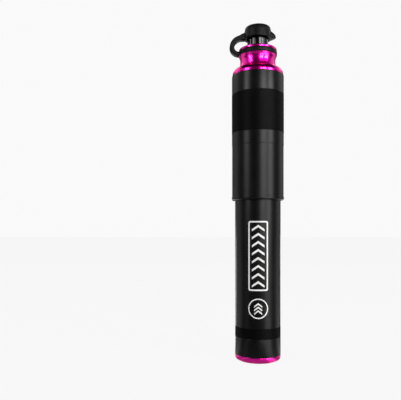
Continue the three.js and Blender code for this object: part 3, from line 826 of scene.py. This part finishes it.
def make_print(tree, ink):
    """A frame, a column of chevrons in it, and a ringed mark of three small chevrons below it."""
    half_width = BARREL_R * FRAME_SPAN / 2
    half_height = (FRAME_HIGH - FRAME_LOW) / 2
    where = {"Radius": BARREL_R, "Turn": PRINT_TURN}
    outer = box_loop(half_width, half_height, FRAME_CORNERS[0])
    inner = box_loop(half_width - FRAME_LINE, half_height - FRAME_LINE, FRAME_CORNERS[1])
    border = tree.shape("printed_border", plate_mesh("border", band_between(outer, inner)), ink,
                        Height=(FRAME_HIGH + FRAME_LOW) / 2, **where)

    pitch = (FRAME_HIGH - FRAME_LOW - 2 * FRAME_LINE) / (CHEVRONS + 0.35)
    first = FRAME_LOW + FRAME_LINE + 0.5 * pitch + CHEVRON_RISE / 2
    flat = plate_mesh("chevron", chevron_loops(CHEVRON_WIDTH, CHEVRON_RISE, CHEVRON_LINE))
    chevrons = tree.shape("printed_chevrons", flat, ink, Count=CHEVRONS, Pitch=pitch, Height=first, **where)

    around = [2 * math.pi * step / BADGE_SEGMENTS for step in range(BADGE_SEGMENTS)]
    circle = [[(size * math.cos(a), size * math.sin(a)) for a in around]
              for size in (BADGE_R, BADGE_R - BADGE_LINE)]
    badge = tree.shape("printed_badge", plate_mesh("badge", band_between(*circle)), ink,
                       Height=BADGE_MIDDLE, **where)
    small = plate_mesh("small_chevron", chevron_loops(ARROW_WIDTH, ARROW_RISE, ARROW_LINE))
    arrows = tree.shape("printed_arrows", small, ink, Count=ARROWS, Pitch=ARROW_PITCH,
                        Height=BADGE_MIDDLE - ARROW_DROP, **where)
    return border, chevrons, badge, arrows


# ------------------------------------------------------------------ handle
def make_sleeve(black):
    """The grip: a lip, a thinner length, and a seat for its knurled ring."""
    body_r = SLEEVE_R - GRIP_PROUD
    thin_r = body_r - RELIEF_DEPTH
    bore = body_r - SLEEVE_WALL
    seat = SLEEVE_R - KNURL_SEAT
    edge, soft, play = 0.15 * MM, 0.1 * MM, 0.1 * MM
    run_in = 0.25 * MM                    # how gently the tube meets its knurled band
    pocket = radius("sleeve_guide_ring") + 0.05 * MM
    pocket_low, pocket_top = bottom("sleeve_guide_ring") - play, top("sleeve_guide_ring") + play
    return turned("sleeve_shell", [
        (bore, SLEEVE_TOP),
        (bore, pocket_top),
        (pocket, pocket_top),
        (pocket, pocket_low),
        (bore, pocket_low),
        (bore, SLEEVE_LOW, 0.2 * MM),
        (SLEEVE_R, SLEEVE_LOW, 0.7 * MM),
        (SLEEVE_R, SLEEVE_LOW + LIP_HEIGHT, soft),
        (thin_r, SLEEVE_LOW + LIP_HEIGHT + 0.1 * MM),
        (thin_r, RELIEF_HIGH, soft),
        (body_r, RELIEF_HIGH + 0.35 * MM, soft),
        (body_r, GRIP_LOW - run_in, soft),
        (SLEEVE_R, GRIP_LOW, edge),
        (seat, GRIP_LOW),
        (seat, GRIP_HIGH),
        (SLEEVE_R, GRIP_HIGH, edge),
        (body_r, GRIP_HIGH + run_in, soft),
        (body_r, SLEEVE_TOP, 0.25 * MM),
    ], black)


def bezier(start, first, second, end, steps):
    """Points of a cubic curve, without its start."""
    handles = [np.array(point) for point in (start, first, second, end)]
    points = []
    for step in range(1, steps + 1):
        t = step / steps
        shares = ((1 - t) ** 3, 3 * t * (1 - t) ** 2, 3 * t * t * (1 - t), t ** 3)
        points.append(sum(share * handle for share, handle in zip(shares, handles)))
    return points


SHOULDER_HEIGHT = 4.5 * MM


def make_head(magenta):
    """Flange, waisted neck, tether groove and lip, with the chuck's bore."""
    flange_edge = SLEEVE_TOP + 0.8 * MM
    groove_low, groove_high = RING_LOW - 0.05 * MM, RING_TOP + 0.05 * MM
    groove_r = NECK_R - 0.3 * MM
    neck_top = groove_low - 3.4 * MM
    flare_r = NECK_R + 0.76 * MM
    spigot = SLEEVE_R - GRIP_PROUD - SLEEVE_WALL - 0.05 * MM
    socket = ROD_R + 0.05 * MM
    socket_top = top("piston_rod") + 0.1 * MM
    passage = HOSE_R + 0.3 * MM
    floor = NUT_LOW - 0.3 * MM
    step_z = SLEEVE_TOP + SHOULDER_HEIGHT
    cove_r = NECK_R + 0.4 * MM
    shoulder = bezier((HEAD_R, flange_edge), (HEAD_R, step_z - 1.9 * MM),
                      (HEAD_R - 1.6 * MM, step_z - 0.4 * MM), (cove_r + 0.5 * MM, step_z), 22)
    fillet = bezier((cove_r + 0.5 * MM, step_z), (cove_r + 0.12 * MM, step_z),
                    (cove_r, step_z + 0.05 * MM), (cove_r - 0.02 * MM, step_z + 0.3 * MM), 8)
    cove = bezier((cove_r - 0.02 * MM, step_z + 0.3 * MM), (cove_r - 0.25 * MM, step_z + 1.2 * MM),
                  (NECK_R, neck_top - 0.6 * MM), (NECK_R, neck_top + 0.6 * MM), 12)
    flare = bezier((NECK_R, neck_top + 0.6 * MM), (NECK_R, neck_top + 1.6 * MM),
                   (NECK_R + 0.25 * MM, neck_top + 2.6 * MM), (flare_r, groove_low), 10)
    lower = rounded([(socket, HEAD_LOW), (spigot, HEAD_LOW, 0.3 * MM), (spigot, SLEEVE_TOP),
                     (HEAD_R, SLEEVE_TOP, 0.2 * MM), (HEAD_R, flange_edge)])
    upper = rounded([
        (groove_r, groove_low), (groove_r, groove_high),
        (flare_r, groove_high, 0.2 * MM), (flare_r, HEAD_TOP, 0.5 * MM),
        (HEAD_BORE_R, HEAD_TOP, 0.35 * MM), (HEAD_BORE_R, floor), (passage, floor, 0.2 * MM),
        (passage, socket_top), (socket, socket_top), (socket, HEAD_LOW),
    ])
    outline = [*lower, *shoulder, *fillet, *cove, *flare, *upper[:-1]]
    return new_piece("head_body", turned_mesh("head_body", outline), magenta)


def make_rod(steel):
    wall = 1 * MM
    return turned("rod_tube", [
        (ROD_R - wall, bottom("piston_rod")),
        (ROD_R, bottom("piston_rod"), 0.2 * MM),
        (ROD_R, top("piston_rod"), 0.2 * MM),
        (ROD_R - wall, top("piston_rod")),
    ], steel, FINE_SEGMENTS)


# ------------------------------------------------------------------ hose and chuck
HOSE_BORE = 1.7 * MM                      # its radius
HOSE_STEPS, HOSE_SEGMENTS = 420, 48       # of the mesh, along and round
GROOVES_HIGH, GROOVES_LOW = NUT_LOW - 3 * MM, NUT_LOW - 14 * MM
GROOVE_PITCH, GROOVE_DEPTH = 1.1 * MM, 0.28 * MM


def make_hose(tree, rubber):
    """The stored hose, with a short grooved length that bends easily below the chuck."""
    low, high = bottom("air_hose"), top("air_hose")
    wall = [(HOSE_R, low + (high - low) * step / HOSE_STEPS) for step in range(HOSE_STEPS + 1)]
    mesh = turned_mesh("hose_outer", [(HOSE_BORE, low), *wall, (HOSE_BORE, high)], HOSE_SEGMENTS)
    return tree.shape("hose_outer", mesh, rubber, Low=GROOVES_LOW, High=GROOVES_HIGH,
                      Pitch=GROOVE_PITCH, Depth=GROOVE_DEPTH, Floor=HOSE_R - 0.1 * MM)


FLUTES = 20
FLUTE_DEPTH, FLUTE_FADE = 0.34 * MM, 0.9 * MM
FLUTE_SEGMENTS, NUT_STEPS = 20, 40        # of the mesh, round one flute and along the nut


def make_nut(tree, chrome):
    """The chuck's fluted shell, open at its mouth and closed round the hose by a web."""
    bore = INSERT_R + 0.1 * MM
    web = NUT_LOW + 2.5 * MM
    passage = HOSE_R + 0.3 * MM
    chamfer = 0.8 * MM
    wall = [(NUT_R, NUT_LOW + chamfer + (NUT_TOP - NUT_LOW - 2 * chamfer) * step / NUT_STEPS)
            for step in range(NUT_STEPS + 1)]
    mouth = rounded([(NUT_R, NUT_TOP - chamfer), (NUT_R - chamfer, NUT_TOP, 0.12 * MM), (bore, NUT_TOP)])
    outline = [(passage, NUT_LOW), (NUT_R - chamfer, NUT_LOW), *wall, *mouth[1:], (bore, web), (passage, web)]
    mesh = turned_mesh("chuck_shell", outline, FLUTE_SEGMENTS * FLUTES)
    return tree.shape("chuck_shell", mesh, chrome, Count=FLUTES, Low=NUT_LOW + chamfer,
                      High=NUT_TOP - chamfer, Fade=FLUTE_FADE, Depth=FLUTE_DEPTH, Floor=NUT_R - 0.05 * MM)


def make_insert(brass):
    wall = 0.7 * MM
    return turned("insert_shell", [
        (INSERT_R - wall, bottom("thread_insert")),
        (INSERT_R, bottom("thread_insert")),
        (INSERT_R, top("thread_insert"), 0.15 * MM),
        (INSERT_R - wall, top("thread_insert"), 0.35 * MM),
    ], brass, FINE_SEGMENTS)


def make_thread(tree, brass):
    """The insert's inner thread, short of both its ends."""
    size, pitch, short = 0.42 * MM, 0.9 * MM, 0.8 * MM
    low = bottom("thread_insert") + short
    turns = math.floor((top("thread_insert") - short - low) / pitch)
    empty = bpy.data.meshes.new("thread_seed")
    return tree.shape("insert_thread", empty, brass, Radius=INSERT_R - 0.75 * MM, Pitch=pitch,
                      Turns=float(turns), Height=low, Size=size)


def make_washer(rubber):
    bore, edge = 2.2 * MM, 0.3 * MM
    return turned("valve_washer", [
        (bore, bottom("valve_seal"), edge),
        (INSERT_R, bottom("valve_seal"), edge),
        (INSERT_R, top("valve_seal"), edge),
        (bore, top("valve_seal"), 2 * edge),
    ], rubber, FINE_SEGMENTS)


# ------------------------------------------------------------------ rubber cap, ring and strap
CAP_EDGE = 1.25 * MM
CAP_RIM_HEIGHT = 0.7 * MM
CAP_ROOF = 1.5 * MM
CAP_FILLET_STEPS = 8
TAB_WIDTH, TAB_HEIGHT, TAB_TIP_RISE = 5.2 * MM, 5.1 * MM, 0.9 * MM
TAB_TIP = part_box("dust_cap")[1][0] - 0.05 * MM
TAB_TIP_POINTS = 17
STRAP_WIDTH, STRAP_EDGE = 4 * MM, 0.55 * MM
STRAP_LOW, STRAP_HIGH = 2.4 * MM, 2.9 * MM            # thickness at the ring and at the cap
STRAP_ROOT, ROOT_START = 1.2 * MM, 0.88               # added at the cap, from this share of the way on
STRAP_BOW_LOW, STRAP_BOW_HIGH = 5.6 * MM, 7.6 * MM    # how far its line reaches out at either end
STRAP_INSIDE = 0.9 * MM                               # how far it runs into the ring and the cap
STRAP_STEPS = 48
STRAP_START = -RING_R - 0.3 * MM
STRAP_CUT = STRAP_START - 0.2 * MM                    # the strap proper lies beyond this plane
VOXEL, SMOOTHING, SMOOTH_PASSES = 0.15 * MM, 0.5, 5
CAP_SPLIT = (RING_TOP + CAP_RIM) / 2                  # between ring and cap


def cap_shell():
    """A crown that widens down to the rim, with the cavity that fits over the chuck."""
    return turned_mesh("cap_shell", rounded([
        (HEAD_BORE_R, CAP_RIM),
        (CAP_RIM_R, CAP_RIM, 0.15 * MM),
        (CAP_RIM_R, CAP_RIM + CAP_RIM_HEIGHT, 1.2 * MM),
        (CAP_CROWN_R + 0.4 * MM, CAP_TOP - 2.4 * MM, 2.5 * MM),
        (CAP_CROWN_R - 0.1 * MM, CAP_TOP, CAP_EDGE),
        (0, CAP_TOP),
        (0, CAP_TOP - CAP_ROOF),
        (HEAD_BORE_R, CAP_TOP - CAP_ROOF, 0.4 * MM),
    ], CAP_FILLET_STEPS))


def tab_block():
    """The pull tab: its outline in plan is round at the tip, which leans out above the rim."""
    half = TAB_WIDTH / 2
    root = HEAD_BORE_R + 0.2 * MM
    rings = []
    low = bezier((CAP_RIM_R, 0), (CAP_RIM_R, 0), ((CAP_RIM_R + TAB_TIP) / 2, 0), (TAB_TIP, TAB_TIP_RISE), 6)
    high = bezier((TAB_TIP, TAB_TIP_RISE), (TAB_TIP, 0.62 * TAB_HEIGHT),
                  (CAP_CROWN_R + 1.2 * MM, 0.66 * TAB_HEIGHT), (CAP_CROWN_R - 0.1 * MM, TAB_HEIGHT), 14)
    for reach, height in [(CAP_RIM_R - 0.2 * MM, 0.02 * MM), *low, *high]:
        middle = reach - half
        tip = [(middle + half * math.cos(a), half * math.sin(a))
               for a in np.linspace(-math.pi / 2, math.pi / 2, TAB_TIP_POINTS)]
        plan = [(min(root, middle), -half), *tip, (min(root, middle), half)]
        rings.append([(x, y, CAP_RIM + height) for x, y in plan])
    return lofted_mesh("tab_block", rings)


def strap_bar():
    """The strap on its bowed line, run a little way into the ring and into the cap."""
    ring_side, cap_side = STRAP_START, -CAP_RIM_R - 0.3 * MM
    low, high = (RING_LOW + RING_TOP) / 2, CAP_RIM + 0.8 * MM
    start, end = (ring_side, low), (cap_side, high)
    line = [np.array([ring_side + STRAP_INSIDE, low]), np.array(start)]
    line += bezier(start, (ring_side - STRAP_BOW_LOW, low + 0.8 * MM),
                   (cap_side - STRAP_BOW_HIGH, high), end, STRAP_STEPS)
    line.append(np.array([cap_side + STRAP_INSIDE, high]))
    rings = []
    for index, middle in enumerate(line):
        share = index / (len(line) - 1)
        along = line[min(index + 1, len(line) - 1)] - line[max(index - 1, 0)]
        out = np.array([-along[1], along[0]]) / np.linalg.norm(along)
        root = max(0, share - ROOT_START) * STRAP_ROOT / (1 - ROOT_START)
        half = (STRAP_LOW + (STRAP_HIGH - STRAP_LOW) * share + root) / 2
        middle = middle + out * root / 2
        outline = box_loop(half, STRAP_WIDTH / 2, STRAP_EDGE)
        rings.append([(middle[0] + out[0] * a, b, middle[1] + out[1] * a) for a, b in outline])
    return lofted_mesh("strap_bar", rings)


def ring_band():
    """The ring that lies in the head's groove."""
    edge = 0.5 * MM
    bore = NECK_R - 0.2 * MM
    return turned_mesh("ring_band", rounded([
        (bore, RING_LOW), (RING_R, RING_LOW, edge), (RING_R, RING_TOP, edge), (bore, RING_TOP)]))


def fuse(name, meshes):
    """Closed meshes grown into one skin with small fillets where they meet."""
    whole = bmesh.new()
    for mesh in meshes:
        whole.from_mesh(mesh)
    joined = bpy.data.meshes.new(name)
    whole.to_mesh(joined)
    whole.free()
    source = bpy.data.objects.new(name, joined)
    bpy.context.collection.objects.link(source)
    remesh = source.modifiers.new("skin", "REMESH")
    remesh.mode = "VOXEL"
    remesh.voxel_size = VOXEL
    smooth = source.modifiers.new("smooth", "SMOOTH")
    smooth.factor, smooth.iterations = SMOOTHING, SMOOTH_PASSES
    graph = bpy.context.evaluated_depsgraph_get()
    result = bpy.data.meshes.new_from_object(source.evaluated_get(graph), depsgraph=graph)
    bpy.data.objects.remove(source)
    return result


def part_of(mesh, name, material, keep_low, keep_under=None):
    """One side of the strap's cut, closed there, and of that all, or what is under or over the split."""
    shape = bmesh.new()
    shape.from_mesh(mesh)
    whole = [*shape.verts, *shape.edges, *shape.faces]
    cut = bmesh.ops.bisect_plane(shape, geom=whole, plane_co=(STRAP_CUT, 0, 0), plane_no=(1, 0, 0),
                                 clear_outer=keep_low, clear_inner=not keep_low)
    edges = [item for item in cut["geom_cut"] if isinstance(item, bmesh.types.BMEdge)]
    bmesh.ops.holes_fill(shape, edges=edges, sides=0)
    if keep_under is not None:
        beyond = [v for v in shape.verts if (v.co.z > CAP_SPLIT) == keep_under]
        bmesh.ops.delete(shape, geom=beyond, context="VERTS")
    bmesh.ops.recalc_face_normals(shape, faces=shape.faces)
    result = bpy.data.meshes.new(name)
    shape.to_mesh(result)
    shape.free()
    return new_piece(name, result, material)


def make_rubber(rubber):
    """Cap, ring and strap, cut from one moulding."""
    moulding = fuse("moulding", [cap_shell(), tab_block(), strap_bar(), ring_band()])
    cap = part_of(moulding, "cap_body", rubber, keep_low=False, keep_under=False)
    ring = part_of(moulding, "tether_band", rubber, keep_low=False, keep_under=True)
    strap = part_of(moulding, "strap", rubber, keep_low=True)
    return cap, ring, strap


# ------------------------------------------------------------------ the pump
add_camera()
add_stage()

black, knurled = anodised_black(), knurled_black()
magenta, chrome = anodised_magenta(), chuck_chrome()
rubber = moulded_rubber()
hose_rubber = moulded_rubber("hose_rubber", 0.005, 0.5)
seal_rubber = moulded_rubber("seal_rubber", 0.008, 0.4)
ink, plastic = printed_white(), moulded_plastic()
steel = plain_metal("polished_steel", (0.62, 0.61, 0.59), (0.5, 0.49, 0.47), 0.1)
brass = plain_metal("brass", (0.78, 0.53, 0.19), (0.56, 0.36, 0.12), 0.18)

place(make_plug(magenta), "barrel", "magenta_anodised", "end_plug")
place(make_barrel(black), "barrel", "black_anodised", "barrel_tube")
place(make_guide(plastic), "barrel", "black_plastic", "rod_guide")
knurls = knurl_tree(knurled)
place(make_knurl("barrel_knurl", knurls, knurled, BARREL_R, BAND_LOW, BAND_HIGH),
      "barrel", "black_anodised")
for mark in make_print(print_tree(ink), ink):
    place(mark, "barrel", "white_print")

place(make_sleeve(black), "handle", "black_anodised", "grip_sleeve")
place(make_knurl("sleeve_knurl", knurls, knurled, SLEEVE_R, GRIP_LOW, GRIP_HIGH),
      "handle", "black_anodised")
place(make_head(magenta), "handle", "magenta_anodised", "head_collar")
place(make_rod(steel), "handle", "polished_steel", "piston_rod")

place(make_hose(rib_tree(hose_rubber), hose_rubber), "hose", "hose_rubber", "air_hose")
place(make_nut(flute_tree(chrome), chrome), "chuck", "chuck_anodised", "chuck_nut")
place(make_insert(brass), "chuck", "brass", "thread_insert")
place(make_thread(thread_tree(brass), brass), "chuck", "brass")
place(make_washer(seal_rubber), "chuck", "seal_rubber", "valve_seal")

cap, ring, strap = make_rubber(rubber)
place(cap, "cap", "cap_rubber", "dust_cap")
place(ring, "tether", "cap_rubber", "tether_ring")
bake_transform(strap)
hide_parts("cap_strap")

# Small parts that show their own solid, and what each is made of
KEPT = {
    "plug_o_ring": seal_rubber, "rod_seal": seal_rubber, "hose_seal": seal_rubber,
    "bumper_ring": seal_rubber, "piston_ring": seal_rubber,
    "sleeve_guide_ring": plastic, "piston_body": plastic,
    "check_ball": steel, "check_spring": steel,
    "valve_retainer": brass, "hose_ferrule": brass, "hose_fitting": brass,
}
for name, material in KEPT.items():
    for material_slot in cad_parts[name].material_slots:
        material_slot.material = material
